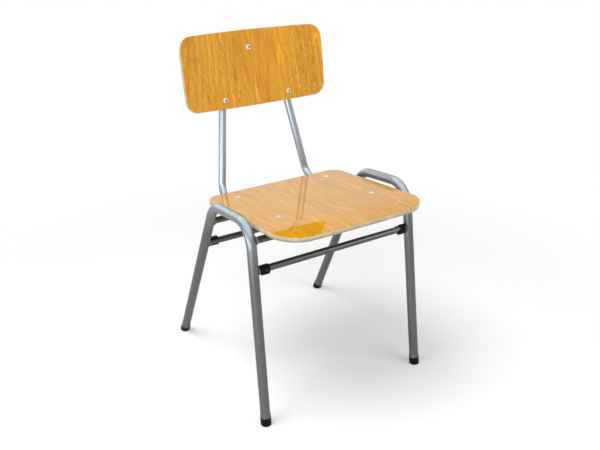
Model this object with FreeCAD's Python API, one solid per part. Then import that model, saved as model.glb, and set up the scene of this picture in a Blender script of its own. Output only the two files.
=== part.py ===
import FreeCAD, Part
import math
import os
from FreeCAD import Placement, Rotation, Vector

# A stacking school chair: two bent side frames, four crossbars, a back hoop whose lower ends
# run forward under the seat as rails, and a pressed plywood seat and backrest bolted to the hoop.
# Millimetres and degrees. The front faces -Y, +X is to the right seen from the front, +Z is up.

# Tubes
leg_tube_diameter = 22.0
leg_tube_wall = 1.5
hoop_tube_diameter = 18.0
hoop_tube_wall = 1.5
bar_tube_diameter = 15.0
bar_tube_wall = 1.2
tube_seam_turn = 90.0

# Side frames, in planes that lean inwards
foot_half_span = 212.0
side_lean = 1.15
front_foot_y = -218.0
front_leg_rake = 7.9
rear_foot_y = 225.0
rear_leg_rake = 25.7
arch_height = 440.0
arch_slope = 7.3
arch_front_bend_radius = 52.0
arch_rear_bend_radius = 62.0
leg_end_height = 19.0
leg_flare_length = 14.0

# Foot plugs
foot_diameter = 24.4
foot_edge_round = 3.0
foot_stem_length = 22.0
foot_stem_clearance = 0.15

# Crossbars between the lower legs
front_lower_bar_height = 358.0
rear_lower_bar_height = 322.0
front_seat_bar_drop = 8.0

# Seat
seat_height_at_front_bolts = 447.5
seat_pitch = 6.8
seat_thickness = 11.0
seat_half_width = 184.0
seat_front_y = -260.0
seat_front_bow = 5.0
seat_rear_y = 104.0
seat_roll_start_y = -170.0
seat_roll_radius = 800.0
seat_front_corner_radius = 64.0
seat_rear_corner_radius = 32.0

# Backrest: a pressed sheet, nearly flat along its lower edge and hollowed along its upper edge
backrest_y = 196.5
backrest_z = 690.0
backrest_lean = 19.5
backrest_thickness = 11.0
backrest_half_width = 185.0
backrest_side_bow = 2.0
backrest_top = 75.0
backrest_top_bow = 9.4
backrest_bottom = -91.5
backrest_bottom_bow = 2.1
backrest_top_corner_radius = 31.5
backrest_bottom_corner_radius = 29.5
backrest_top_edge_radius = 474.0
backrest_bottom_edge_radius = 2230.0

# Pressed blanks, larger than the sheets trimmed from them
blank_side_margin = 44.0
blank_end_margin = 12.0

# Face sheets on the plywood cores
face_sheet_thickness = 0.8
face_sheet_inset = 0.8
glue_line = 0.06
core_edge_round = 0.8

# Back hoop
hoop_half_width_at_screws = 86.4
hoop_convergence = 9.15
hoop_upright_lean = 12.6
hoop_kink_height = -76.0
hoop_kink_radius = 90.0
hoop_rail_bend_radius = 40.0
hoop_clearance = 0.3

# Seat bolts and backrest screws
front_bolt_y = -129.0
rear_bolt_behind_bar = 18.7
bolt_shank_diameter = 6.0
bolt_hole_clearance = 0.4
seat_bolt_head_diameter = 12.5
seat_bolt_head_height = 2.4
backrest_screw_head_diameter = 13.5
backrest_screw_head_height = 3.6
backrest_screw_recess_width = 5.0
backrest_screw_recess_depth = 2.0
lower_screw_height = -73.8
top_screw_height = 42.5
head_seat_clearance = 0.12
nut_width = 10.0
nut_height = 5.0
cap_nut_dome_height = 4.0
washer_diameter = 14.0
washer_thickness = 1.6
bolt_tip_length = 2.0
drill_depth = 60.0

# Stacking bumpers on the ends of the lower bars
bumper_length = 20.0
bumper_leg_gap = 3.2
bumper_height = 20.0
bumper_pad_depth = 10.2
bumper_lip_depth = 5.0
bumper_corner_radius = 4.0
bumper_end_round = 1.2
bumper_bore_clearance = 0.2
bumper_mouth_height = 9.0
loose_bumper_turn = 105.0
rivet_head_diameter = 7.0
rivet_head_height = 1.6
rivet_recess_depth = 1.0
rivet_recess_clearance = 0.4
rivet_shank_diameter = 3.6
rivet_from_leg_end = 13.0

# Welds
weld_height = 2.2
weld_length = 3.0
weld_bite = 3.5
rail_weld_height = 1.8
rail_weld_reach = 7.0

# Worked out from the sizes above
leg_radius = leg_tube_diameter / 2
hoop_radius = hoop_tube_diameter / 2
bar_radius = bar_tube_diameter / 2
bolt_hole_diameter = bolt_shank_diameter + bolt_hole_clearance
side_slope = math.tan(math.radians(side_lean))
front_rake_slope = math.tan(math.radians(front_leg_rake))
rear_rake_slope = math.tan(math.radians(rear_leg_rake))
arch_run_slope = math.tan(math.radians(arch_slope))
seat_slope = math.tan(math.radians(seat_pitch))
seat_tilt = 1 / math.cos(math.radians(seat_pitch))

# For drawing
reach = 600.0
slope_step = 0.5
parallel_limit = 0.01
full_turn = 360.0
half_turn = 180.0
up = Vector(0, 0, 1)


def side_x(z):
    """Distance of a side frame's plane from the middle at height z."""
    return foot_half_span - z * side_slope


def front_leg_y(z):
    return front_foot_y + z * front_rake_slope


def rear_leg_y(z):
    return rear_foot_y - z * rear_rake_slope


def seat_top_z(y):
    """Height of the seat's flat stretch, continued along its pitch."""
    return seat_height_at_front_bolts - (y - front_bolt_y) * seat_slope


def rail_z(y):
    return seat_top_z(y) - (seat_thickness + hoop_radius + hoop_clearance) * seat_tilt


# Where the seat bars meet the legs
rear_seat_bar_offset = (hoop_radius + bar_radius + hoop_clearance) * seat_tilt
rear_seat_bar_height = (rail_z(0) - rear_seat_bar_offset - seat_slope * rear_foot_y) / (
    1 - seat_slope * rear_rake_slope
)
front_seat_bar_height = (rail_z(0) - front_seat_bar_drop - seat_slope * front_foot_y) / (
    1 + seat_slope * front_rake_slope
)
bar_places = {
    "front_seat_crossbar": (front_leg_y(front_seat_bar_height), front_seat_bar_height),
    "rear_seat_crossbar": (rear_leg_y(rear_seat_bar_height), rear_seat_bar_height),
    "front_lower_crossbar": (front_leg_y(front_lower_bar_height), front_lower_bar_height),
    "rear_lower_crossbar": (rear_leg_y(rear_lower_bar_height), rear_lower_bar_height),
}
rear_bolt_y = bar_places["rear_seat_crossbar"][0] + rear_bolt_behind_bar


def rounded_path(points, radii):
    """A wire of straight runs joined by tangent arcs; radii belong to the inner points."""
    edges = []
    start = points[0]
    for before, corner, after, radius in zip(points, points[1:], points[2:], radii):
        inward = (before - corner).normalize()
        outward = (after - corner).normalize()
        half_angle = inward.getAngle(outward) / 2
        setback = radius / math.tan(half_angle)
        bisector = (inward + outward).normalize()
        centre = corner + bisector * (radius / math.sin(half_angle))
        first = corner + inward * setback
        middle = centre - bisector * radius
        last = corner + outward * setback
        edges.append(Part.LineSegment(start, first).toShape())
        edges.append(Part.Arc(first, middle, last).toShape())
        start = last
    edges.append(Part.LineSegment(start, points[-1]).toShape())
    return Part.Wire(edges)


def rod(path, diameter):
    """A solid of round section along a path."""
    first = path.Edges[0]
    start = first.valueAt(first.FirstParameter)
    heading = first.tangentAt(first.FirstParameter)
    ring = Part.Wire(Part.makeCircle(diameter / 2, start, heading))
    ring.rotate(start, heading, tube_seam_turn)
    return path.makePipe(Part.Face(ring))


def pin(base, direction, diameter, length):
    return Part.makeCylinder(diameter / 2, length, base, direction)


def revolved(profile, turn=full_turn):
    """A solid of revolution about Z from edges drawn in the XZ plane."""
    turned = Part.Face(Part.Wire(profile)).revolve(Vector(0, 0, 0), up, turn)
    return turned if turned.Volume > 0 else turned.reversed()


def line(first, last):
    return Part.LineSegment(first, last).toShape()


def arc(first, middle, last):
    return Part.Arc(first, middle, last).toShape()


def polyline(points):
    return [line(a, b) for a, b in zip(points, points[1:] + points[:1])]


def placed(shape, base, axis):
    """Turn a shape's +Z to an axis and move its origin to a base point."""
    copy = shape.copy()
    copy.Placement = Placement(base, Rotation(up, axis)).multiply(copy.Placement)
    return copy


def edges_along(shape, direction):
    """The edges that set out along a direction, either way round."""
    return [
        edge
        for edge in shape.Edges
        if edge.tangentAt(edge.FirstParameter).cross(direction).Length < parallel_limit
    ]


def mirrored(shape):
    return shape.mirror(Vector(0, 0, 0), Vector(1, 0, 0))


def sided(shape, side):
    """The right-hand shape, or its mirror image for the left."""
    return shape if side > 0 else mirrored(shape)


# Side frames and foot plugs

def leg_axes():
    """The two leg axes of the right side frame: a point at floor level and the way up."""
    front_up = Vector(-side_slope, front_rake_slope, 1).normalize()
    rear_up = Vector(-side_slope, -rear_rake_slope, 1).normalize()
    return {
        "front": (Vector(side_x(0), front_foot_y, 0), front_up),
        "rear": (Vector(side_x(0), rear_foot_y, 0), rear_up),
    }


def at_height(base, leg_up, z):
    return base + leg_up * ((z - base.z) / leg_up.z)


def arch_corner_z(foot_y, slope_back):
    """Height at which a leg that moves back by slope_back as it rises meets the arch's run."""
    return (arch_height - arch_run_slope * foot_y) / (1 + arch_run_slope * slope_back)


def side_frame():
    """The right side frame's bent tube, and the same form without its bore."""
    axes = leg_axes()
    path = rounded_path(
        [
            at_height(*axes["front"], leg_end_height),
            at_height(*axes["front"], arch_corner_z(front_foot_y, front_rake_slope)),
            at_height(*axes["rear"], arch_corner_z(rear_foot_y, -rear_rake_slope)),
            at_height(*axes["rear"], leg_end_height),
        ],
        [arch_front_bend_radius, arch_rear_bend_radius],
    )
    form = rod(path, leg_tube_diameter)
    for base, leg_up in axes.values():
        end = at_height(base, leg_up, leg_end_height)
        flare = Part.makeCone(foot_diameter / 2, leg_radius, leg_flare_length, end, leg_up)
        form = form.fuse(flare)
    form = form.removeSplitter()
    bore = rod(path, leg_tube_diameter - 2 * leg_tube_wall)
    return form.cut(bore), form


def foot_plug(base, leg_up):
    """A plug with a stem in the tube and a collar cut level with the floor, its bottom edge rounded."""
    end = at_height(base, leg_up, leg_end_height)
    collar = pin(end, leg_up * -1, foot_diameter, 2 * leg_end_height)
    below_floor = Part.makeBox(reach, reach, reach, base - Vector(reach / 2, reach / 2, reach))
    collar = collar.cut(below_floor)
    bottom_edges = [edge for edge in collar.Edges if edge.BoundBox.ZMax < foot_edge_round]
    collar = collar.makeFillet(foot_edge_round, bottom_edges)
    stem_diameter = leg_tube_diameter - 2 * (leg_tube_wall + foot_stem_clearance)
    return collar.fuse(pin(end, leg_up, stem_diameter, foot_stem_length))


# Crossbars and their welds

def bar_rod(y, z, diameter):
    """A solid rod from side frame to side frame."""
    half = side_x(z)
    return pin(Vector(-half, y, z), Vector(1, 0, 0), diameter, 2 * half)


def crossbar(y, z, leg_forms):
    """A tube whose ends are coped round the legs."""
    bar = bar_rod(y, z, bar_tube_diameter)
    for form in leg_forms:
        bar = bar.cut(form)
    return bar.cut(bar_rod(y, z, bar_tube_diameter - 2 * bar_tube_wall))


def flared_collar(inner_radius, height, turn=full_turn):
    """A hollow weld fillet round a rod along Z: it thins out along +Z, and bites past its full height."""
    hollow = (height**2 + weld_length**2) / (2 * height)
    part_way = math.asin(weld_length / hollow) / 2
    sag_out = inner_radius + hollow * (1 - math.cos(part_way))
    tip = Vector(inner_radius, 0, weld_length)
    sag = Vector(sag_out, 0, weld_length - hollow * math.sin(part_way))
    crown = Vector(inner_radius + height, 0, 0)
    root = Vector(inner_radius + height, 0, -weld_bite)
    inside = Vector(inner_radius, 0, -weld_bite)
    return revolved([arc(tip, sag, crown), line(crown, root), line(root, inside), line(inside, tip)], turn)


def bar_weld(y, z, side, leg_form):
    seat_point = Vector(side * (side_x(z) - leg_radius), y, z)
    collar = placed(flared_collar(bar_radius, weld_height), seat_point, Vector(-side, 0, 0))
    return collar.cut(leg_form)


# Back hoop

def backrest_axes():
    """Up along the backrest's middle line, and straight out of its front."""
    lean = math.radians(backrest_lean)
    return Vector(0, math.sin(lean), math.cos(lean)), Vector(0, -math.cos(lean), math.sin(lean))


def on_backrest(across, height, depth):
    """A point given across, up and behind the middle of the backrest's front."""
    along, out = backrest_axes()
    return Vector(across, backrest_y, backrest_z) + along * height - out * depth


def arc_rise(radius, across):
    return radius - math.sqrt(radius**2 - across**2)


def face_advance(across, height):
    """How far the hollowed front stands forward of its middle line."""
    low = arc_rise(backrest_bottom_edge_radius, across)
    high = arc_rise(backrest_top_edge_radius, across)
    share = (height - backrest_bottom) / (backrest_top - backrest_bottom)
    return low + (high - low) * share


def hoop_depth(height):
    """Depth of the hoop's axis: it touches the sheet at the lower screws and at the crown."""
    behind = backrest_thickness + hoop_radius + hoop_clearance
    low = behind - face_advance(hoop_half_width_at_screws, lower_screw_height)
    share = (height - lower_screw_height) / (top_screw_height - lower_screw_height)
    return low + (behind - low) * share


def hoop_corners():
    """Right half of the hoop's axis, from the rail's front end to the point above the crown."""
    spread = math.tan(math.radians(hoop_convergence))
    upright_lean = math.radians(hoop_upright_lean)
    kink_across = hoop_half_width_at_screws + (lower_screw_height - hoop_kink_height) * spread
    kink = on_backrest(kink_across, hoop_kink_height, hoop_depth(hoop_kink_height))
    down = Vector(0, -math.sin(upright_lean), -math.cos(upright_lean))
    run = (kink.z - rail_z(kink.y)) / (math.cos(upright_lean) + math.sin(upright_lean) * seat_slope)
    rail_corner = kink + down * run + Vector(run * spread, 0, 0)
    bar_y = bar_places["front_seat_crossbar"][0]
    rail_end = Vector(rail_corner.x, bar_y, rail_z(bar_y))
    apex_height = lower_screw_height + hoop_half_width_at_screws / spread
    apex = on_backrest(0, apex_height, hoop_depth(apex_height))
    return rail_end, rail_corner, kink, apex


def hoop_path():
    rail_end, rail_corner, kink, apex = hoop_corners()
    crown = on_backrest(0, top_screw_height, hoop_depth(top_screw_height))
    spread_sine = math.sin((kink - apex).getAngle(crown - apex))
    crown_radius = (apex - crown).Length * spread_sine / (1 - spread_sine)
    right = [rail_end, rail_corner, kink]
    left = [Vector(-point.x, point.y, point.z) for point in reversed(right)]
    bends = [hoop_rail_bend_radius, hoop_kink_radius]
    return rounded_path(right + [apex] + left, bends + [crown_radius] + bends[::-1])


rail_x = hoop_corners()[1].x


# Plywood sheets

def rounded_prism(sides, corner_radii):
    """An upright prism on four edges; each radius goes to the corners that its test picks."""
    prism = Part.Face(Part.Wire(sides)).extrude(up * reach)
    for picks, radius in corner_radii:
        corners = [edge for edge in edges_along(prism, up) if picks(edge.CenterOfMass)]
        prism = prism.makeFillet(radius, corners)
    return prism


def seat_outline(inset):
    """The seat's plan as an upright prism, inset from the core's edge."""
    half = seat_half_width - inset
    front = seat_front_y + inset
    rear = seat_rear_y - inset
    low = seat_height_at_front_bolts - reach / 2
    rear_right = Vector(half, rear, low)
    rear_left = Vector(-half, rear, low)
    front_left = Vector(-half, front, low)
    front_right = Vector(half, front, low)
    sides = [
        line(rear_right, rear_left),
        line(rear_left, front_left),
        arc(front_left, Vector(0, front - seat_front_bow, low), front_right),
        line(front_right, rear_right),
    ]
    radii = [
        (lambda centre: centre.y > 0, seat_rear_corner_radius - inset),
        (lambda centre: centre.y < 0, seat_front_corner_radius - inset),
    ]
    return rounded_prism(sides, radii)


def seat_layer(top, bottom, inset):
    """A layer of the seat between two depths below its top face."""
    pitch = math.radians(seat_pitch)
    normal = Vector(0, math.sin(pitch), math.cos(pitch))
    roll_top = Vector(-seat_half_width, seat_roll_start_y, seat_top_z(seat_roll_start_y))
    roll_centre = roll_top - normal * seat_roll_radius
    run_length = seat_rear_y - seat_roll_start_y + blank_side_margin
    run = Vector(0, math.cos(pitch), -math.sin(pitch)) * run_length
    roll_length = seat_roll_start_y - seat_front_y + seat_front_bow + blank_side_margin
    turn = math.asin(roll_length / seat_roll_radius)

    def on_roll(radius, share):
        angle = pitch - turn * share
        return roll_centre + Vector(0, math.sin(angle), math.cos(angle)) * radius

    upper = seat_roll_radius - top
    lower = seat_roll_radius - bottom
    profile = [
        line(on_roll(upper, 0) + run, on_roll(upper, 0)),
        arc(on_roll(upper, 0), on_roll(upper, 0.5), on_roll(upper, 1)),
        line(on_roll(upper, 1), on_roll(lower, 1)),
        arc(on_roll(lower, 1), on_roll(lower, 0.5), on_roll(lower, 0)),
        line(on_roll(lower, 0), on_roll(lower, 0) + run),
        line(on_roll(lower, 0) + run, on_roll(upper, 0) + run),
    ]
    sheet = Part.Face(Part.Wire(profile)).extrude(Vector(2 * seat_half_width, 0, 0))
    return sheet.common(seat_outline(inset))


def backrest_outline(inset):
    """The backrest's outline in its own frame: X across, Y up, extruded along Z, its depth."""
    half = backrest_half_width - inset
    top = backrest_top - inset
    bottom = backrest_bottom + inset
    middle = (top + bottom) / 2
    near = -reach / 2
    low_right = Vector(half, bottom, near)
    high_right = Vector(half, top, near)
    high_left = Vector(-half, top, near)
    low_left = Vector(-half, bottom, near)
    sides = [
        arc(low_right, Vector(half + backrest_side_bow, middle, near), high_right),
        arc(high_right, Vector(0, top + backrest_top_bow, near), high_left),
        arc(high_left, Vector(-half - backrest_side_bow, middle, near), low_left),
        arc(low_left, Vector(0, bottom - backrest_bottom_bow, near), low_right),
    ]
    radii = [
        (lambda centre: centre.y > middle, backrest_top_corner_radius - inset),
        (lambda centre: centre.y < middle, backrest_bottom_corner_radius - inset),
    ]
    return rounded_prism(sides, radii)


def backrest_section(height, front, rear):
    """Closed section of a layer at one height, with its arcs about one centre in front."""
    low = arc_rise(backrest_bottom_edge_radius, backrest_half_width)
    high = arc_rise(backrest_top_edge_radius, backrest_half_width)
    share = (height - backrest_bottom) / (backrest_top - backrest_bottom)
    rise = low + (high - low) * share
    width = backrest_half_width
    radius = (rise**2 + width**2) / (2 * rise)
    sweep = math.asin((width + blank_side_margin) / radius)

    def on_arc(depth, share_across):
        angle = sweep * share_across
        outer = radius + depth
        return Vector(outer * math.sin(angle), height, radius - outer * math.cos(angle))

    return Part.Wire([
        arc(on_arc(front, -1), on_arc(front, 0), on_arc(front, 1)),
        line(on_arc(front, 1), on_arc(rear, 1)),
        arc(on_arc(rear, 1), on_arc(rear, 0), on_arc(rear, -1)),
        line(on_arc(rear, -1), on_arc(front, -1)),
    ])


def backrest_layer(front, rear, inset):
    """A layer of the backrest between two depths behind its front face."""
    low = backrest_section(backrest_bottom - blank_end_margin, front, rear)
    high = backrest_section(backrest_top + blank_end_margin, front, rear)
    sheet = Part.makeLoft([low, high], True, True)
    layer = sheet.common(backrest_outline(inset))
    along, out = backrest_axes()
    turn = Rotation(Vector(1, 0, 0), along, out, "XYZ")
    layer.Placement = Placement(Vector(0, backrest_y, backrest_z), turn)
    return layer


def eased(core):
    """Round the long edges of a plywood core, where its faces meet its sawn edge."""
    long_edges = [edge for edge in core.Edges if len(core.ancestorsOfType(edge, Part.Face)) == 2]
    return core.makeFillet(core_edge_round, long_edges)


# Fasteners

def seat_bolt_places():
    """Base points on the seat's top face, with the way out of the seat."""
    pitch = math.radians(seat_pitch)
    out = Vector(0, math.sin(pitch), math.cos(pitch))
    return [
        (Vector(side * rail_x, y, seat_top_z(y)), out)
        for side in (1, -1)
        for y in (front_bolt_y, rear_bolt_y)
    ]


def backrest_screw_places():
    """Base points on the backrest's front face, with the way out of it."""
    along, out = backrest_axes()
    places = []
    for across, height in (
        (hoop_half_width_at_screws, lower_screw_height),
        (-hoop_half_width_at_screws, lower_screw_height),
        (0.0, top_screw_height),
    ):
        advance = face_advance(across, height)
        tilt = (face_advance(across + slope_step, height) - advance) / slope_step
        rise = (face_advance(across, height + slope_step) - advance) / slope_step
        normal = (out - Vector(1, 0, 0) * tilt - along * rise).normalize()
        places.append((on_backrest(across, height, -advance), normal))
    return places


def domed_head(diameter, height):
    """A low dome on Z = 0."""
    half = diameter / 2
    radius = (half**2 + height**2) / (2 * height)
    part_way = math.asin(half / radius) / 2
    shoulder = Vector(radius * math.sin(part_way), 0, height - radius + radius * math.cos(part_way))
    rim = Vector(half, 0, 0)
    crown = Vector(0, 0, height)
    centre = Vector(0, 0, 0)
    return revolved([line(centre, rim), arc(rim, shoulder, crown), line(crown, centre)])


def hexagon_prism(width, height):
    corner = width / 2 / math.cos(math.radians(30))
    points = [
        Vector(corner * math.cos(math.radians(60 * i)), corner * math.sin(math.radians(60 * i)), 0)
        for i in range(6)
    ]
    return Part.Face(Part.Wire(polyline(points))).extrude(Vector(0, 0, height))


def nut_start_depth(sheet_thickness):
    """Depth below the sheet's face at which the washer ends and the nut begins."""
    return sheet_thickness + hoop_clearance + hoop_tube_diameter + washer_thickness


def seat_bolt(base, out):
    length = nut_start_depth(seat_thickness) + nut_height + bolt_tip_length
    head = domed_head(seat_bolt_head_diameter, seat_bolt_head_height)
    shank = pin(up * -length, up, bolt_shank_diameter, length)
    return placed(head.fuse(shank).removeSplitter(), base + out * head_seat_clearance, out)


def backrest_screw(base, out):
    length = nut_start_depth(backrest_thickness) + nut_height
    head = domed_head(backrest_screw_head_diameter, backrest_screw_head_height)
    recess = hexagon_prism(backrest_screw_recess_width, backrest_screw_head_height)
    recess.translate(up * (backrest_screw_head_height - backrest_screw_recess_depth))
    shank = pin(up * -length, up, bolt_shank_diameter, length)
    return placed(head.cut(recess).fuse(shank).removeSplitter(), base + out * head_seat_clearance, out)


def bolt_hole(base, out):
    return pin(base - out * drill_depth, out, bolt_hole_diameter, 2 * drill_depth)


def drilled(shape, places):
    for base, out in places:
        shape = shape.cut(bolt_hole(base, out))
    return shape


def saddle_washer(base, out, sheet_thickness, hoop_form):
    """A round washer hollowed to sit on the tube's far side."""
    blank = pin(up * -nut_start_depth(sheet_thickness), up, washer_diameter, hoop_radius)
    return placed(blank, base, out).cut(hoop_form).cut(bolt_hole(base, out))


def nut(sheet_thickness):
    """A hexagon nut below the origin, where the washer leaves it."""
    nut_end = up * -(nut_start_depth(sheet_thickness) + nut_height)
    body = hexagon_prism(nut_width, nut_height)
    body.translate(nut_end)
    return body.cut(pin(nut_end, up, bolt_shank_diameter, nut_height))


def cap_nut(sheet_thickness):
    """A hexagon nut with a domed end over the screw's tip."""
    dome = domed_head(nut_width, cap_nut_dome_height)
    dome.rotate(Vector(0, 0, 0), Vector(1, 0, 0), half_turn)
    dome.translate(up * -(nut_start_depth(sheet_thickness) + nut_height))
    return nut(sheet_thickness).fuse(dome).removeSplitter()


# Stacking bumpers

def bumper_blank():
    """A clip along +X round the X axis: a thick pad towards +Y and a mouth towards -Y."""
    along = Vector(1, 0, 0)
    outward = Vector(0, 1, 0)
    depth = bumper_pad_depth + bumper_lip_depth
    blank = Part.makeBox(bumper_length, depth, bumper_height)
    blank.translate(Vector(0, -bumper_lip_depth, -bumper_height / 2))
    blank = blank.makeFillet(bumper_corner_radius, edges_along(blank, along))
    end_edges = [edge for edge in blank.Edges if edge.BoundBox.XLength < parallel_limit]
    blank = blank.makeFillet(bumper_end_round, end_edges)
    bore = bar_tube_diameter + 2 * bumper_bore_clearance
    blank = blank.cut(pin(Vector(0, 0, 0), along, bore, bumper_length))
    mouth = Part.makeBox(bumper_length, bumper_pad_depth, bumper_mouth_height)
    mouth.translate(Vector(0, -bumper_pad_depth, -bumper_mouth_height / 2))
    blank = blank.cut(mouth)
    recess_floor = Vector(rivet_from_leg_end, bumper_pad_depth - rivet_recess_depth, 0)
    recess_diameter = rivet_head_diameter + 2 * rivet_recess_clearance
    blank = blank.cut(pin(recess_floor, outward, recess_diameter, rivet_recess_depth))
    shank_hole = rivet_shank_diameter + 2 * rivet_recess_clearance
    return blank.cut(pin(Vector(rivet_from_leg_end, 0, 0), outward, shank_hole, bumper_pad_depth))


def rivet_hole():
    """What a rivet's shank takes out of the bar's near wall."""
    return pin(Vector(rivet_from_leg_end, 0, 0), Vector(0, 1, 0), rivet_shank_diameter, bar_radius * 2)


def bumper_rivet():
    """A domed rivet from the pad's recess through the bar's near wall."""
    seat = bumper_pad_depth - rivet_recess_depth
    start = bar_radius - bar_tube_wall
    head = domed_head(rivet_head_diameter, rivet_head_height)
    shank = pin(up * (start - seat), up, rivet_shank_diameter, seat - start)
    rivet = head.fuse(shank).removeSplitter()
    return placed(rivet, Vector(rivet_from_leg_end, seat, 0), Vector(0, 1, 0))


def on_bar_end(shape, y, z, side, facing):
    """Put a right-hand clip or rivet on a bar's end; facing turns its pad from +Y about X."""
    start = side_x(z) - leg_radius - bumper_leg_gap
    copy = shape.mirror(Vector(0, 0, 0), Vector(1, 0, 0))
    copy.rotate(Vector(0, 0, 0), Vector(1, 0, 0), facing)
    copy.translate(Vector(start, y, z))
    return sided(copy, side)


def bumper_seats():
    """Bar and side of each bumper, with the turn of its pad; one front clip has worked round."""
    return {
        "front_left_bumper": ("front_lower_crossbar", -1, half_turn),
        "front_right_bumper": ("front_lower_crossbar", 1, half_turn + loose_bumper_turn),
        "rear_left_bumper": ("rear_lower_crossbar", -1, 0.0),
        "rear_right_bumper": ("rear_lower_crossbar", 1, 0.0),
    }


# The assembly

def frame_nodes(nodes):
    """Side frames, crossbars, hoop and welds."""
    right_tube, right_form = side_frame()
    left_form = mirrored(right_form)
    nodes["right_side_frame"] = right_tube
    nodes["left_side_frame"] = mirrored(right_tube)
    bars = {}
    for name, (y, z) in bar_places.items():
        bars[name] = bar_rod(y, z, bar_tube_diameter)
        nodes[name] = crossbar(y, z, (right_form, left_form))
    nodes["bar_weld_fillets"] = [
        bar_weld(y, z, side, form)
        for y, z in bar_places.values()
        for side, form in ((1, right_form), (-1, left_form))
    ]
    path = hoop_path()
    hoop_form = rod(path, hoop_tube_diameter).cut(bars["front_seat_crossbar"])
    hoop = hoop_form.cut(rod(path, hoop_tube_diameter - 2 * hoop_tube_wall))
    nodes["back_hoop"] = drilled(hoop, seat_bolt_places() + backrest_screw_places())
    nodes["rail_weld_fillets"] = rail_welds(bars, hoop_form)
    return hoop_form


def rail_welds(bars, hoop_form):
    """Welds under the rails, where they butt against the front seat bar and cross the rear one."""
    pitch = math.radians(seat_pitch)
    backward = Vector(0, math.cos(pitch), -math.sin(pitch))
    front_y = bar_places["front_seat_crossbar"][0]
    rear_y, rear_z = bar_places["rear_seat_crossbar"]
    welds = []
    for side in (1, -1):
        seat_point = Vector(side * rail_x, front_y, rail_z(front_y)) + backward * bar_radius
        half_collar = flared_collar(hoop_radius, rail_weld_height, half_turn)
        welds.append(placed(half_collar, seat_point, backward).cut(bars["front_seat_crossbar"]))
        crossing = Vector(side * rail_x, rear_y, rear_z)
        column = pin(crossing, up, rail_weld_reach * 2, rear_seat_bar_offset)
        welds.append(column.cut(bars["rear_seat_crossbar"]).cut(hoop_form))
    return welds


def sheet_nodes(nodes):
    """Seat and backrest: a core between two face sheets."""
    seat = pressed_sheet(seat_layer, seat_thickness, seat_bolt_places())
    nodes["seat_face_sheet"], nodes["seat_core"], nodes["seat_under_sheet"] = seat
    backrest = pressed_sheet(backrest_layer, backrest_thickness, backrest_screw_places())
    nodes["backrest_face_sheet"], nodes["backrest_core"], nodes["backrest_rear_sheet"] = backrest


def pressed_sheet(layer, thickness, holes):
    """A thin face sheet, a drilled core and a thin rear sheet."""
    skin = face_sheet_thickness
    face = layer(0, skin, face_sheet_inset)
    core = eased(layer(skin + glue_line, thickness - skin - glue_line, 0))
    rear = layer(thickness - skin, thickness, face_sheet_inset)
    return [drilled(sheet, holes) for sheet in (face, core, rear)]


def fastener_nodes(nodes, hoop_form):
    bolts = seat_bolt_places()
    screws = backrest_screw_places()
    nodes["seat_bolts"] = [seat_bolt(*place) for place in bolts]
    nodes["seat_saddle_washers"] = [
        saddle_washer(*place, seat_thickness, hoop_form) for place in bolts
    ]
    nodes["seat_nuts"] = [placed(nut(seat_thickness), *place) for place in bolts]
    nodes["backrest_screws"] = [backrest_screw(*place) for place in screws]
    nodes["backrest_saddle_washers"] = [
        saddle_washer(*place, backrest_thickness, hoop_form) for place in screws
    ]
    nodes["backrest_cap_nuts"] = [placed(cap_nut(backrest_thickness), *place) for place in screws]


def plastic_nodes(nodes):
    """Bumpers with their rivets, and the foot plugs."""
    rivets = []
    for name, (bar, side, facing) in bumper_seats().items():
        place = bar_places[bar] + (side, facing)
        nodes[name] = on_bar_end(bumper_blank(), *place)
        nodes[bar] = nodes[bar].cut(on_bar_end(rivet_hole(), *place))
        rivets.append(on_bar_end(bumper_rivet(), *place))
    nodes["bumper_rivets"] = rivets
    for leg, (base, leg_up) in leg_axes().items():
        plug = foot_plug(base, leg_up)
        nodes[leg + "_right_foot"] = plug
        nodes[leg + "_left_foot"] = mirrored(plug)


def main():
    nodes = {}
    hoop_form = frame_nodes(nodes)
    sheet_nodes(nodes)
    fastener_nodes(nodes, hoop_form)
    plastic_nodes(nodes)
    shapes = {}
    for name, solids in nodes.items():
        shapes[name] = Part.makeCompound(solids) if isinstance(solids, list) else solids
    # The origin is the middle of the chair's footprint, at floor level.
    box = Part.makeCompound(list(shapes.values())).optimalBoundingBox(False)
    to_origin = Vector(-box.Center.x, -box.Center.y, -box.ZMin)
    os.makedirs("parts", exist_ok=True)
    for name, shape in shapes.items():
        shape.translate(to_origin)
        shape.exportStep("parts/" + name + ".step")


main()
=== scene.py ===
import math
from collections import namedtuple

import bpy
from bpy.props import FloatProperty, FloatVectorProperty, PointerProperty
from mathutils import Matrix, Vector


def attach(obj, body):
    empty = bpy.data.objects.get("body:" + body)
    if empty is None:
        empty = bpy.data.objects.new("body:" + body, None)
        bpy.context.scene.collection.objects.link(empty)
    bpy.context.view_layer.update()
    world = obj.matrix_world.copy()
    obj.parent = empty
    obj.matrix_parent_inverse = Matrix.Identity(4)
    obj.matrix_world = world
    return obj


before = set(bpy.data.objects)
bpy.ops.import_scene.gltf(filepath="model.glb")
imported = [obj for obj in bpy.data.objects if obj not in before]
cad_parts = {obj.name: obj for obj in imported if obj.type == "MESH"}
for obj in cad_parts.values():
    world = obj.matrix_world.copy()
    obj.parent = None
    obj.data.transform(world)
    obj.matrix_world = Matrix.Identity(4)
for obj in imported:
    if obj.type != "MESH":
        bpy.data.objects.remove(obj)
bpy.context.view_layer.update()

bl_info = {
    "name": "School chair finishes",
    "version": (1, 0, 0),
    "blender": (4, 5, 0),
    "location": "View3D > Sidebar > School chair",
    "description": "Veneer, plywood edges, tube paint, hardware and studio for a stacking school chair",
    "category": "Object",
}

bent_tubes = ("left_side_frame", "right_side_frame", "back_hoop")
crossbars = ("front_seat_crossbar", "rear_seat_crossbar", "front_lower_crossbar", "rear_lower_crossbar")

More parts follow.
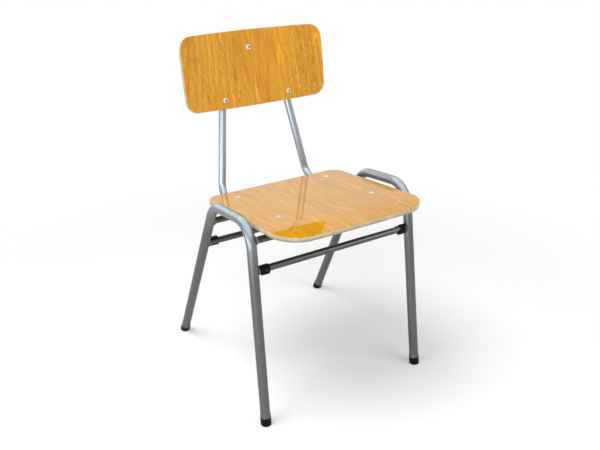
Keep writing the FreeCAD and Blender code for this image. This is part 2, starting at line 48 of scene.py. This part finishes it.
# How a veneer sheet is cut: the lines that its flame figures lie along, the slice of the pattern it shows,
# its streaks to the metre, the strength of its rings and of its pores, and the refractive index of its
# lacquer, which sets how strongly it mirrors
Figure = namedtuple("Figure", "hearts slice streaks rings pores lacquer")
seat_figure = Figure(
    hearts=(-0.09, 0.05), slice=0.52, streaks=120, rings=0.65, pores=0.5, lacquer=1.60)
backrest_figure = Figure(
    hearts=(-0.01, 0.075), slice=4.21, streaks=210, rings=1.0, pores=1.0, lacquer=1.45)
rear_figure = Figure(
    hearts=(-0.06, 0.11), slice=0.0, streaks=210, rings=1.0, pores=1.0, lacquer=1.45)

# The seat's press form: its slope, the roll of its front, and the levels of its core's two faces
seat_slope = math.tan(math.radians(6.8))
seat_roll_start, seat_roll_radius = -0.1618, 0.8
seat_core_under, seat_core_top = 0.4229, 0.4322

# The backrest's press form: its lean, how its hollow deepens upwards, and its core's two faces
backrest_lean = math.radians(-70.5)
hollow_rise, hollow_base = 5.22, -3.07
backrest_core_rear, backrest_core_front = 0.0275, 0.0372

# The recesses in the backrest's screws: their places across and up its face, their rim's radius, and the
# radius within which painted shade fills them
screw_recesses = ((-0.0864, 0.6450), (0.0864, 0.6450), (0.0, 0.7613))
recess_rim, recess_shaded = 0.0031, 0.0025

# Where the sawn edges start turning tan and where they are as tan as they get, from left to right
darkening_start, darkening_full = -0.16, -0.03

# Heights between which the paint turns to painted shade, and between which it grows scuffed, on the way
# down
shade_from, shade_to = 0.46, 0.385
scuffed_from, scuffed_to = 0.18, 0.04

# The clip at the right end of the front lower bar, looking along the bar: the bar's centre, and the way the
# clip's mouth faces
clip_bar = (-0.16012, 0.358)
clip_mouth = (-math.sin(math.radians(15)), math.cos(math.radians(15)))

# The strap over that mouth: its ends along the bar, its section, and its reach to each side of the mouth
strap_start, strap_end = 0.1782, 0.1904
strap_bore, strap_thickness, strap_rounding = 0.00775, 0.0025, 0.0007
strap_half_angle = math.radians(49)

# The studio: radii between which the floor fades to white, its greys, its glow, and the panels' cool tint
floor_fade_start, floor_fade_end = 0.55, 1.25
floor_dark, floor_light = 0.71, 0.74
floor_glow = 0.30
panel_tint = (0.79, 0.91, 1.0)

# The camera's sensor, and how far its picture is shifted on it
sensor_width = 36
picture_shift = (-0.0015, -0.002)


# Settings that a user would change

class VeneerSettings(bpy.types.PropertyGroup):
    honey: FloatVectorProperty(
        name="Honey", description="Main colour of the veneer", subtype="COLOR", size=3,
        min=0, max=1, default=(0.69, 0.325, 0.008))
    amber: FloatVectorProperty(
        name="Amber", description="Colour of the darker growth rings", subtype="COLOR", size=3,
        min=0, max=1, default=(0.54, 0.215, 0.002))
    straw: FloatVectorProperty(
        name="Straw", description="Colour of the pale streaks", subtype="COLOR", size=3,
        min=0, max=1, default=(0.82, 0.43, 0.03))
    pore: FloatVectorProperty(
        name="Pores", description="Colour of the short dark pores", subtype="COLOR", size=3,
        min=0, max=1, default=(0.30, 0.12, 0.004))
    ring_spacing: FloatProperty(
        name="Ring spacing", description="Distance from one growth ring to the next",
        subtype="DISTANCE", unit="LENGTH", default=0.016)
    gloss: FloatProperty(
        name="Lacquer roughness", description="Roughness of the clear lacquer over the veneer",
        subtype="FACTOR", min=0, max=1, default=0.03)


class PlywoodSettings(bpy.types.PropertyGroup):
    pale: FloatVectorProperty(
        name="Pale plies", description="Colour of the plies cut along the grain", subtype="COLOR", size=3,
        min=0, max=1, default=(0.74, 0.70, 0.51))
    tan: FloatVectorProperty(
        name="Tan plies", description="Colour of the plies cut across the grain", subtype="COLOR", size=3,
        min=0, max=1, default=(0.52, 0.43, 0.24))
    # Soil colour of the plies, also used as painted shade along the edge's lower or rear side
    soiled_and_shaded: FloatVectorProperty(
        name="Soiled plies", description="Colour where the edge is soiled", subtype="COLOR", size=3,
        min=0, max=1, default=(0.27, 0.21, 0.10))
    plies: FloatProperty(
        name="Plies", description="Number of plies in the pressed core", min=1, default=7)


class PaintSettings(bpy.types.PropertyGroup):
    silver: FloatVectorProperty(
        name="Silver", description="Colour of the silver-grey tube paint", subtype="COLOR", size=3,
        min=0, max=1, default=(0.215, 0.222, 0.233))
    # Painted light: the frames' silver made brighter on the hoop, for the light its uprights catch
    hoop: FloatVectorProperty(
        name="Hoop", description="Colour of the brighter paint on the back hoop", subtype="COLOR", size=3,
        min=0, max=1, default=(0.29, 0.31, 0.335))
    # Painted shade: the silver darkened down the legs, for the shade they stand in
    shade: FloatVectorProperty(
        name="Shaded silver", description="Colour of the shaded paint on the legs", subtype="COLOR", size=3,
        min=0, max=1, default=(0.125, 0.127, 0.122))
    # Painted shade: the frames' paint made darker on the crossbars, for the shade under the seat
    bars: FloatVectorProperty(
        name="Bars", description="Colour of the thinly painted crossbars", subtype="COLOR", size=3,
        min=0, max=1, default=(0.095, 0.095, 0.088))
    flake: FloatProperty(
        name="Metallic pigment", description="How metallic the paint looks", subtype="FACTOR",
        min=0, max=1, default=0.85)


class HardwareSettings(bpy.types.PropertyGroup):
    zinc: FloatVectorProperty(
        name="Zinc", description="Colour of the plated bolts, screws and nuts", subtype="COLOR", size=3,
        min=0, max=1, default=(0.88, 0.885, 0.89))
    rivet: FloatVectorProperty(
        name="Rivets", description="Colour of the blackened rivets in the bumpers", subtype="COLOR", size=3,
        min=0, max=1, default=(0.045, 0.045, 0.048))
    black: FloatVectorProperty(
        name="Black plastic", description="Colour of the bumpers and foot plugs", subtype="COLOR", size=3,
        min=0, max=1, default=(0.003, 0.003, 0.0034))
    rubbed: FloatVectorProperty(
        name="Rubbed plastic", description="Colour of the scuffs on the plastic", subtype="COLOR", size=3,
        min=0, max=1, default=(0.012, 0.012, 0.012))


class StudioSettings(bpy.types.PropertyGroup):
    viewpoint: FloatVectorProperty(
        name="Viewpoint", description="Place of the camera", subtype="TRANSLATION", unit="LENGTH", size=3,
        default=(-0.7918, -1.2808, 1.0595))
    tilt: FloatProperty(
        name="Tilt", description="Camera's turn up from looking straight down", subtype="ANGLE",
        unit="ROTATION", default=math.radians(64.84))
    heading: FloatProperty(
        name="Heading", description="Camera's turn about the upright axis", subtype="ANGLE",
        unit="ROTATION", default=math.radians(-32.04))
    lens: FloatProperty(
        name="Lens", description="Focal length on a 36 mm wide sensor", subtype="DISTANCE_CAMERA",
        unit="CAMERA", default=42.11)
    ambient: FloatProperty(
        name="Ambient", description="Level of the even light from all round", min=0, default=0.27)


# Node helpers

def feed(tree, target, inputs):
    """Set a node's inputs, each to a value or by a link from a socket."""
    for key, value in inputs.items():
        if isinstance(value, bpy.types.NodeSocket):
            tree.links.new(value, target.inputs[key])
        else:
            target.inputs[key].default_value = value


def node(tree, kind, inputs=None, **settings):
    """A new node with its settings and its inputs."""
    made = tree.nodes.new(kind)
    for key, value in settings.items():
        setattr(made, key, value)
    feed(tree, made, inputs or {})
    return made


def sums(tree, operation, *values):
    """The result of one arithmetic step."""
    return node(tree, "ShaderNodeMath", dict(enumerate(values)), operation=operation).outputs[0]


def span(tree, value, start, end, **settings):
    """Zero up to the start of a span, rising to one at its end, which may be the lower of the two."""
    inputs = {"Value": value, "From Min": start, "From Max": end}
    return node(tree, "ShaderNodeMapRange", inputs, **settings).outputs[0]


def place(tree, turn=0.0, shift=0.0):
    """Object coordinates, turned about X and then moved along Z."""
    coordinates = node(tree, "ShaderNodeTexCoord").outputs["Object"]
    inputs = {"Vector": coordinates, "Rotation": (turn, 0, 0), "Location": (0, 0, shift)}
    return node(tree, "ShaderNodeMapping", inputs).outputs[0]


def stretched(tree, spot, scale):
    """A place with each of its axes scaled."""
    return node(tree, "ShaderNodeVectorMath", {0: spot, 1: scale}, operation="MULTIPLY").outputs[0]


def noise(tree, spot, scale=1.0, detail=2.0, roughness=0.5):
    """Soft noise between zero and one."""
    inputs = {"Vector": spot, "Scale": scale, "Detail": detail, "Roughness": roughness}
    return node(tree, "ShaderNodeTexNoise", inputs).outputs["Fac"]


def ramp(tree, factor, stops):
    """A grey value from stops of (position, value)."""
    made = node(tree, "ShaderNodeValToRGB", {"Fac": factor})
    elements = made.color_ramp.elements
    while len(elements) < len(stops):
        elements.new(0.5)
    for element, (position, value) in zip(elements, stops):
        element.position = position
        element.color = (value, value, value, 1)
    return made.outputs["Color"]


def blended(tree, factor, first, second):
    """A colour between two, each a colour or a socket."""
    sockets = {0: factor}
    for index, colour in ((6, first), (7, second)):
        is_socket = isinstance(colour, bpy.types.NodeSocket)
        sockets[index] = colour if is_socket else (*colour, 1)
    return node(tree, "ShaderNodeMix", sockets, data_type="RGBA").outputs[2]


def bump(tree, height, strength, distance):
    """A surface direction that follows a height."""
    inputs = {"Height": height, "Strength": strength, "Distance": distance}
    return node(tree, "ShaderNodeBump", inputs).outputs[0]


def fresh_material(name):
    """A new material, its node tree and its shader."""
    material = bpy.data.materials.new(name)
    material.use_nodes = True
    tree = material.node_tree
    return material, tree, tree.nodes["Principled BSDF"]


def darker(colour, share):
    """A colour at a share of its brightness."""
    return [value * share for value in colour]


def dress(names, material):
    """Give CAD nodes a material in place of their plain one."""
    for name in names:
        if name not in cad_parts:
            raise RuntimeError("the frame has no node named " + name)
        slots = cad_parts[name].data.materials
        slots.clear()
        slots.append(material)


# Finishes

def veneer(name, settings, turn, figure):
    """Lacquered veneer with its grain along Y after the turn, and flame figures round the heart lines."""
    material, tree, shader = fresh_material(name)
    spot = place(tree, turn, figure.slice)
    late = growth_rings(tree, spot, settings.ring_spacing, figure.hearts)
    tone = noise(tree, stretched(tree, spot, (17, 1.5, 17)), detail=3)
    ring_share = sums(tree, "MULTIPLY_ADD", late, 0.65, ramp(tree, tone, [(0.36, 0.0), (0.62, 0.6)]))
    ring_share = sums(tree, "MULTIPLY", ring_share, figure.rings)
    colour = blended(tree, ring_share, settings.honey, settings.amber)
    vein = noise(tree, stretched(tree, spot, (48, 1.0, 48)), detail=1)
    vein = sums(tree, "ABSOLUTE", sums(tree, "SUBTRACT", vein, 0.5))
    vein = ramp(tree, vein, [(0.0, 0.8), (0.022, 0.0)])
    streak_scale = (figure.streaks, 4, figure.streaks)
    streak = noise(tree, stretched(tree, spot, streak_scale), detail=3, roughness=0.6)
    pale = sums(tree, "MAXIMUM", vein, ramp(tree, streak, [(0.52, 0.0), (0.75, 0.4)]))
    colour = blended(tree, pale, colour, settings.straw)
    pore_share = pores(tree, spot)
    colour = blended(tree, sums(tree, "MULTIPLY", pore_share, figure.pores), colour, settings.pore)
    ripple = noise(tree, stretched(tree, spot, (22, 9, 22)), detail=2)
    feed(tree, shader, {
        "Base Color": colour,
        "Roughness": sums(tree, "MULTIPLY_ADD", late, 0.12, 0.38),
        "Specular IOR Level": 0.0,
        "Normal": bump(tree, pore_share, 0.15, 0.0002),
        "Coat Weight": 1.0,
        "Coat Roughness": settings.gloss,
        "Coat IOR": figure.lacquer,
        "Coat Normal": bump(tree, ripple, 0.08, 0.0006),
    })
    return material


def pores(tree, spot):
    """Short dark pores along the grain, gathered in streams."""
    stream = noise(tree, stretched(tree, spot, (24, 2, 24)), detail=4, roughness=0.6)
    stream = ramp(tree, stream, [(0.42, 0.25), (0.62, 1.0)])
    fleck = noise(tree, stretched(tree, spot, (560, 60, 560)), detail=2)
    fleck = ramp(tree, fleck, [(0.54, 0.0), (0.64, 0.9)])
    dash = noise(tree, stretched(tree, spot, (1300, 40, 1300)), detail=1)
    dash = ramp(tree, dash, [(0.48, 0.0), (0.68, 0.5)])
    return sums(tree, "MULTIPLY", sums(tree, "MAXIMUM", fleck, dash), stream)


def growth_rings(tree, spot, spacing, hearts):
    """One at a ring's dark start and fading after it: arches round each heart line, else long lines."""
    parts = node(tree, "ShaderNodeSeparateXYZ", {0: spot})
    wander = noise(tree, stretched(tree, spot, (7, 2.4, 7)), detail=2)
    across = sums(tree, "MULTIPLY_ADD", wander, 0.05, parts.outputs["X"])
    nearest = None
    for heart in hearts:
        off = sums(tree, "SUBTRACT", across, heart)
        away = sums(tree, "SQRT", sums(tree, "MULTIPLY_ADD", off, off, 0.0004))
        nearest = away if nearest is None else sums(tree, "MINIMUM", nearest, away)
    ragged = noise(tree, stretched(tree, spot, (160, 12, 160)), detail=2)
    rings = sums(tree, "DIVIDE", nearest, spacing)
    rings = sums(tree, "MULTIPLY_ADD", parts.outputs["Y"], 6.0, rings)
    rings = sums(tree, "FRACT", sums(tree, "MULTIPLY_ADD", ragged, 0.5, rings))
    return ramp(tree, rings, [(0.0, 1.0), (0.35, 0.2), (0.8, 0.0), (1.0, 0.9)])


def balance_sheet(settings):
    """Plain dull veneer under the seat, with its grain along Y."""
    material, tree, shader = fresh_material("seat_balance_sheet")
    spot = place(tree)
    streak = noise(tree, stretched(tree, spot, (150, 4, 150)), detail=4, roughness=0.6)
    tone = noise(tree, stretched(tree, spot, (14, 2, 14)), detail=3)
    colour = blended(tree, ramp(tree, tone, [(0.35, 0.0), (0.7, 0.7)]), settings.tan, settings.soiled_and_shaded)
    colour = blended(tree, ramp(tree, streak, [(0.5, 0.0), (0.7, 0.5)]), colour, settings.soiled_and_shaded)
    feed(tree, shader, {
        "Base Color": colour,
        "Roughness": sums(tree, "MULTIPLY_ADD", streak, 0.2, 0.5),
        "Specular IOR Level": 0.3,
        "Normal": bump(tree, streak, 0.2, 0.0002),
    })
    return material


def ply_edge(name, settings, turn, depth_of):
    """Pressed plies on the sawn edge, striped by the share of the thickness that depth_of works out."""
    material, tree, shader = fresh_material(name)
    spot = place(tree, turn)
    axes = node(tree, "ShaderNodeSeparateXYZ", {0: spot}).outputs
    depth = depth_of(tree, axes)
    # The sawn edges turn mostly tan from left to right
    darkening = span(tree, axes["X"], darkening_start, darkening_full)
    cut = noise(tree, spot, scale=180, detail=3)
    shaky = sums(tree, "MULTIPLY_ADD", sums(tree, "SUBTRACT", cut, 0.5), 0.12, depth)
    layer = sums(tree, "PINGPONG", sums(tree, "MULTIPLY", shaky, settings.plies), 1.0)
    stripe = ramp(tree, layer, [(0.35, 0.0), (0.65, 1.0)])
    # Painted shade: the edge darkens towards the core's under or rear face, in random patches
    painted_shade = ramp(tree, shaky, [(0.05, 1.0), (0.5, 0.45), (0.8, 0.2)])
    blotch = noise(tree, spot, scale=45, detail=3)
    share = sums(tree, "MULTIPLY", stripe, sums(tree, "MULTIPLY_ADD", blotch, 0.5, 0.2))
    colour = blended(tree, share, settings.pale, settings.tan)
    colour = blended(tree, sums(tree, "MULTIPLY", darkening, 0.75), colour, settings.tan)
    soiled_and_shaded = sums(tree, "MULTIPLY", painted_shade, ramp(tree, blotch, [(0.3, 0.25), (0.6, 0.95)]))
    colour = blended(tree, soiled_and_shaded, colour, settings.soiled_and_shaded)
    fibre = noise(tree, spot, scale=900, detail=3, roughness=0.7)
    speck = ramp(tree, fibre, [(0.62, 0.0), (0.75, 0.45)])
    colour = blended(tree, speck, colour, settings.soiled_and_shaded)
    feed(tree, shader, {
        "Base Color": colour,
        "Roughness": sums(tree, "MULTIPLY_ADD", fibre, 0.25, 0.42),
        "Specular IOR Level": 0.35,
        "Normal": bump(tree, sums(tree, "ADD", fibre, stripe), 0.25, 0.0003),
    })
    return material


def seat_depth(tree, axes):
    """Zero under the seat's core to one on top of it, following its slope and the roll of its front."""
    past = sums(tree, "MAXIMUM", sums(tree, "SUBTRACT", seat_roll_start, axes["Y"]), 0.0)
    roll = sums(tree, "DIVIDE", sums(tree, "MULTIPLY", past, past), 2 * seat_roll_radius)
    level = sums(tree, "ADD", sums(tree, "MULTIPLY_ADD", axes["Y"], seat_slope, axes["Z"]), roll)
    return span(tree, level, seat_core_under, seat_core_top)


def backrest_depth(tree, axes):
    """Zero behind the backrest's core to one in front of it, following its hollow."""
    hollow = sums(tree, "MULTIPLY_ADD", axes["Y"], hollow_rise, hollow_base)
    bow = sums(tree, "MULTIPLY", sums(tree, "MULTIPLY", axes["X"], axes["X"]), hollow)
    level = sums(tree, "SUBTRACT", axes["Z"], bow)
    return span(tree, level, backrest_core_rear, backrest_core_front)


def tube_paint(name, silver, shaded_silver, flake):
    """Silver paint with metallic pigment, with painted shade down the legs, and scuffed near the floor."""
    material, tree, shader = fresh_material(name)
    spot = place(tree)
    cloud = noise(tree, spot, scale=14, detail=4, roughness=0.6)
    height = node(tree, "ShaderNodeSeparateXYZ", {0: spot}).outputs["Z"]
    height = sums(tree, "MULTIPLY_ADD", cloud, 0.05, height)
    scratches = noise(tree, spot, scale=120, detail=4, roughness=0.7)
    scuff = ramp(tree, scratches, [(0.55, 0.0), (0.7, 1.0)])
    scuff = sums(tree, "MULTIPLY", scuff, span(tree, height, scuffed_from, scuffed_to))
    # Painted shade: the silver darkens towards the shaded colour on the way down
    colour = blended(tree, span(tree, height, shade_from, shade_to), silver, shaded_silver)
    colour = blended(tree, sums(tree, "MULTIPLY", scuff, 0.5), colour, darker(shaded_silver, 0.6))
    rough = sums(tree, "MULTIPLY_ADD", cloud, 0.12, 0.28)
    peel = noise(tree, spot, scale=90, detail=1)
    feed(tree, shader, {
        "Base Color": colour,
        "Metallic": flake,
        "Roughness": sums(tree, "MULTIPLY_ADD", scuff, 0.2, rough),
        "Normal": bump(tree, peel, 0.012, 0.0004),
    })
    return material


def plated_steel(name, plating, turn=0.0, recesses=()):
    """Plated steel with fine turning marks, a little tarnish, and painted shade in the drive recesses."""
    material, tree, shader = fresh_material(name)
    spot = place(tree)
    marks = noise(tree, spot, scale=1500, detail=3, roughness=0.7)
    tarnish = noise(tree, spot, scale=160, detail=3)
    share = ramp(tree, tarnish, [(0.45, 0.0), (0.75, 0.4)])
    colour = blended(tree, share, plating, darker(plating, 0.6))
    flat = stretched(tree, place(tree, turn), (1, 1, 0))
    for centre in recesses:
        ends = {0: flat, 1: (*centre, 0)}
        away = node(tree, "ShaderNodeVectorMath", ends, operation="DISTANCE").outputs["Value"]
        # Painted shade: darker inside each drive recess
        inside = span(tree, away, recess_rim, recess_shaded)
        colour = blended(tree, inside, colour, darker(plating, 0.22))
    feed(tree, shader, {
        "Base Color": colour,
        "Metallic": 1.0,
        "Roughness": sums(tree, "MULTIPLY_ADD", marks, 0.16, 0.2),
        "Normal": bump(tree, marks, 0.1, 0.0001),
    })
    return material


def black_plastic(settings):
    """Moulded black plastic with a fine spark texture and pale scuffs."""
    material, tree, shader = fresh_material("moulded_black_plastic")
    spot = place(tree)
    spark = noise(tree, spot, scale=1800, detail=2)
    rub = noise(tree, stretched(tree, spot, (90, 90, 300)), detail=4, roughness=0.65)
    scuff = ramp(tree, rub, [(0.58, 0.0), (0.72, 0.5)])
    colour = blended(tree, scuff, settings.black, settings.rubbed)
    feed(tree, shader, {
        "Base Color": colour,
        "Roughness": sums(tree, "MULTIPLY_ADD", scuff, 0.25, 0.42),
        "Specular IOR Level": 0.1,
        "Normal": bump(tree, spark, 0.1, 0.0002),
    })
    return material


def studio_floor():
    """A pale floor that the camera and reflections see lifted to white, with the shadow kept."""
    material, tree, shader = fresh_material("pale_studio_floor")
    tree.nodes.remove(shader)
    output = tree.nodes["Material Output"]
    spot = place(tree)
    far = node(tree, "ShaderNodeVectorMath", {0: spot}, operation="LENGTH").outputs["Value"]
    fade = span(tree, far, floor_fade_start, floor_fade_end, interpolation_type="SMOOTHSTEP")
    speckle = noise(tree, spot, scale=60, detail=3)
    greys = {"Value": speckle, "To Min": floor_dark, "To Max": floor_light}
    grey = node(tree, "ShaderNodeMapRange", greys).outputs[0]
    plain = node(tree, "ShaderNodeBsdfDiffuse", {"Color": grey}).outputs[0]
    glow = node(tree, "ShaderNodeEmission", {"Color": (1, 1, 1, 1), "Strength": floor_glow}).outputs[0]
    lifted = node(tree, "ShaderNodeAddShader", {0: plain, 1: glow}).outputs[0]
    white = node(tree, "ShaderNodeEmission", {"Color": (1, 1, 1, 1), "Strength": 1.0}).outputs[0]
    seen = node(tree, "ShaderNodeMixShader", {0: fade, 1: lifted, 2: white}).outputs[0]
    mixed = node(tree, "ShaderNodeMixShader", {0: seen_ray(tree), 1: plain, 2: seen}).outputs[0]
    tree.links.new(mixed, output.inputs["Surface"])
    return material


def seen_ray(tree):
    """One for rays from the camera, from reflections and through glass, else zero."""
    rays = node(tree, "ShaderNodeLightPath").outputs
    either = sums(tree, "MAXIMUM", rays["Is Camera Ray"], rays["Is Glossy Ray"])
    return sums(tree, "MAXIMUM", either, rays["Is Transmission Ray"])


# Operators, one for each group of like pieces and one for the stage

class PaintTubes(bpy.types.Operator):
    """Paint the side frames, bars, hoop and welds"""
    bl_idname = "chair.paint_tubes"
    bl_label = "Paint tubes"

    def execute(self, context):
        paint = context.scene.chair_paint
        sides = ("left_side_frame", "right_side_frame", "bar_weld_fillets", "rail_weld_fillets")
        dress(sides, tube_paint("side_frame_paint", paint.silver, paint.shade, paint.flake))
        # Painted light: the hoop gets a brighter copy of the frames' paint
        dress(["back_hoop"], tube_paint("lit_hoop_paint", paint.hoop, paint.shade, paint.flake))
        # Painted shade: the crossbars get a darker copy of the frames' paint
        dress(crossbars, tube_paint("shaded_bar_paint", paint.bars, paint.bars, paint.flake))
        return {"FINISHED"}


class FinishSeat(bpy.types.Operator):
    """Give the seat its veneered faces and its plywood edge"""
    bl_idname = "chair.finish_seat"
    bl_label = "Finish seat"

    def execute(self, context):
        settings = context.scene.chair_veneer
        dress(["seat_face_sheet"], veneer("seat_veneer", settings, 0.0, seat_figure))
        dress(["seat_under_sheet"], balance_sheet(context.scene.chair_plywood))
        dress(["seat_core"], ply_edge("seat_ply_edge", context.scene.chair_plywood, 0.0, seat_depth))
        return {"FINISHED"}


class FinishBackrest(bpy.types.Operator):
    """Give the backrest its veneered faces and its plywood edge"""
    bl_idname = "chair.finish_backrest"
    bl_label = "Finish backrest"

    def execute(self, context):
        settings = context.scene.chair_veneer
        front = veneer("backrest_veneer", settings, backrest_lean, backrest_figure)
        rear = veneer("backrest_rear_veneer", settings, backrest_lean, rear_figure)
        dress(["backrest_face_sheet"], front)
        dress(["backrest_rear_sheet"], rear)
        edge = ply_edge("backrest_ply_edge", context.scene.chair_plywood, backrest_lean, backrest_depth)
        dress(["backrest_core"], edge)
        return {"FINISHED"}


class FinishHardware(bpy.types.Operator):
    """Plate the bolts, screws, washers and nuts, and blacken the rivets"""
    bl_idname = "chair.finish_hardware"
    bl_label = "Finish hardware"

    def execute(self, context):
        names = [
            "seat_bolts", "seat_saddle_washers", "seat_nuts",
            "backrest_saddle_washers", "backrest_cap_nuts",
        ]
        zinc = context.scene.chair_hardware.zinc
        dress(names, plated_steel("zinc_plate", zinc))
        dress(["backrest_screws"], plated_steel("zinc_screws", zinc, backrest_lean, screw_recesses))
        dress(["bumper_rivets"], plated_steel("dark_rivet", context.scene.chair_hardware.rivet))
        return {"FINISHED"}


class FinishPlastic(bpy.types.Operator):
    """Finish the stacking bumpers and the foot plugs"""
    bl_idname = "chair.finish_plastic"
    bl_label = "Finish plastic"

    def execute(self, context):
        corners = ("front_left", "front_right", "rear_left", "rear_right")
        names = [corner + kind for corner in corners for kind in ("_bumper", "_foot")]
        dress(names, black_plastic(context.scene.chair_hardware))
        return {"FINISHED"}


def off_mouth(face):
    """Whether a face of the tube round the bar lies outside the mouth of the clip."""
    out = Vector((face.center.y, face.center.z)) - Vector(clip_bar)
    return out.angle(Vector(clip_mouth)) > strap_half_angle


class StrapBumper(bpy.types.Operator):
    """Model the strap that closes the mouth of the right front clip"""
    bl_idname = "chair.strap_bumper"
    bl_label = "Strap bumper"

    def execute(self, context):
        bpy.ops.object.select_all(action="DESELECT")
        bpy.ops.mesh.primitive_cylinder_add(
            vertices=120, radius=strap_bore, depth=strap_end - strap_start, end_fill_type="NOTHING",
            location=((strap_start + strap_end) / 2, *clip_bar), rotation=(0, math.radians(90), 0))
        strap = context.object
        strap.name = "front_right_bumper_strap"
        bpy.ops.object.transform_apply(location=True, rotation=True, scale=True)
        bpy.ops.object.mode_set(mode="EDIT")
        bpy.ops.mesh.select_mode(type="FACE")
        bpy.ops.mesh.select_all(action="DESELECT")
        bpy.ops.object.mode_set(mode="OBJECT")
        for face in strap.data.polygons:
            face.select = off_mouth(face)
        bpy.ops.object.mode_set(mode="EDIT")
        bpy.ops.mesh.delete(type="FACE")
        bpy.ops.object.mode_set(mode="OBJECT")
        thicken = strap.modifiers.new("thickness", "SOLIDIFY")
        thicken.thickness = strap_thickness
        thicken.offset = 1
        soften = strap.modifiers.new("rounding", "BEVEL")
        soften.width = strap_rounding
        soften.segments = 3
        soften.limit_method = "ANGLE"
        bpy.ops.object.modifier_apply(modifier=thicken.name)
        bpy.ops.object.modifier_apply(modifier=soften.name)
        bpy.ops.object.shade_smooth_by_angle(angle=math.radians(40))
        strap.data.materials.append(bpy.data.materials["moulded_black_plastic"])
        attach(strap, "root")
        return {"FINISHED"}


def softbox(name, place_at, aim, size, power):
    """A soft rectangular lamp that the camera doesn't see."""
    bpy.ops.object.light_add(type="AREA", location=place_at)
    lamp = bpy.context.object
    lamp.name = name
    lamp.rotation_euler = (Vector(aim) - Vector(place_at)).to_track_quat("-Z", "Y").to_euler()
    lamp.data.shape = "RECTANGLE"
    lamp.data.size, lamp.data.size_y = size
    lamp.data.energy = power
    lamp.visible_camera = False
    return lamp


def wash(name, place_at, aim, size, power):
    """A soft lamp that doesn't show in glossy surfaces."""
    softbox(name, place_at, aim, size, power).visible_glossy = False


def tube_panel(name, place_at, aim, size, power, tubes=bent_tubes):
    """A cool lamp that shows in the given tubes alone, as a long highlight."""
    lamp = softbox(name, place_at, aim, size, power)
    lamp.data.color = panel_tint
    lamp.visible_diffuse = False
    lit = bpy.data.collections.new(name + "_tubes")
    for tube in tubes:
        lit.objects.link(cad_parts[tube])
    lamp.light_linking.receiver_collection = lit


def hang_lamps():
    """Soft lamps for the whole chair, and panels for the highlights along its tubes."""
    middle = (0, 0, 0.4)
    upper = (0, 0, 0.6)
    wash("overhead_softbox", (-0.9, 0.1, 2.7), middle, (1.4, 1.4), 51)
    wash("front_softbox", (1.3, -2.6, 0.95), upper, (2.4, 1.7), 60)
    wash("left_softbox", (-2.6, -0.2, 0.9), upper, (1.6, 1.4), 22)
    tube_panel("rear_panel", (-0.8, 2.2, 1.8), middle, (3.2, 2.6), 52)
    tube_panel("low_panel", (-2.2, -0.8, 0.42), (0, 0, 0.5), (3.2, 0.84), 48)
    tube_panel("front_panel", (-1.35, -2.1, 1.9), (0, 0, 0.55), (1.6, 1.2), 34, ["back_hoop"])
    tube_panel("bar_panel", (1.4, -1.6, 1.2), (0, 0, 0.36), (0.9, 0.7), 13, crossbars)
    tube_panel("top_panel", (-0.3, -0.3, 2.3), (-0.3, -0.2, 0), (4.6, 4.6), 140)


def white_world(ambient):
    """A white surround for the camera and reflections that lights the rest at the ambient level."""
    world = bpy.data.worlds.new("studio_white")
    world.use_nodes = True
    tree = world.node_tree
    background = tree.nodes["Background"]
    background.inputs["Color"].default_value = (1, 1, 1, 1)
    level = node(tree, "ShaderNodeMapRange", {"Value": seen_ray(tree), "To Min": ambient, "To Max": 1.0})
    tree.links.new(level.outputs[0], background.inputs["Strength"])
    return world


class SetStage(bpy.types.Operator):
    """Lay the floor, hang the lamps and place the camera"""
    bl_idname = "chair.set_stage"
    bl_label = "Set stage"

    def execute(self, context):
        studio = context.scene.chair_studio
        bpy.ops.object.select_all(action="DESELECT")
        bpy.ops.mesh.primitive_plane_add(size=40, location=(0, 0, 0))
        floor = context.object
        floor.name = "studio_floor"
        floor.data.materials.append(studio_floor())
        context.scene.world = white_world(studio.ambient)
        hang_lamps()
        bpy.ops.object.camera_add(location=studio.viewpoint, rotation=(studio.tilt, 0, studio.heading))
        camera = context.object
        camera.data.sensor_width = sensor_width
        camera.data.lens = studio.lens
        camera.data.shift_x, camera.data.shift_y = picture_shift
        context.scene.camera = camera
        context.scene.view_settings.view_transform = "Standard"
        return {"FINISHED"}


class ChairPanel(bpy.types.Panel):
    """Finishes and settings of the school chair"""
    bl_idname = "VIEW3D_PT_school_chair"
    bl_label = "School chair"
    bl_space_type = "VIEW_3D"
    bl_region_type = "UI"
    bl_category = "School chair"

    def draw(self, context):
        for operator in operators:
            self.layout.operator(operator.bl_idname)
        for name, group in settings_groups.items():
            box = self.layout.box()
            for key in group.__annotations__:
                box.prop(getattr(context.scene, name), key)


settings_groups = {
    "chair_veneer": VeneerSettings,
    "chair_plywood": PlywoodSettings,
    "chair_paint": PaintSettings,
    "chair_hardware": HardwareSettings,
    "chair_studio": StudioSettings,
}
operators = (PaintTubes, FinishSeat, FinishBackrest, FinishHardware, FinishPlastic, StrapBumper, SetStage)


def register():
    for name, group in settings_groups.items():
        bpy.utils.register_class(group)
        setattr(bpy.types.Scene, name, PointerProperty(type=group))
    for made in (*operators, ChairPanel):
        bpy.utils.register_class(made)


def unregister():
    for made in (ChairPanel, *reversed(operators)):
        bpy.utils.unregister_class(made)
    for name, group in reversed(settings_groups.items()):
        delattr(bpy.types.Scene, name)
        bpy.utils.unregister_class(group)


def main():
    register()
    bpy.ops.chair.paint_tubes()
    bpy.ops.chair.finish_seat()
    bpy.ops.chair.finish_backrest()
    bpy.ops.chair.finish_hardware()
    bpy.ops.chair.finish_plastic()
    bpy.ops.chair.strap_bumper()
    bpy.ops.chair.set_stage()


if __name__ == "__main__":
    main()
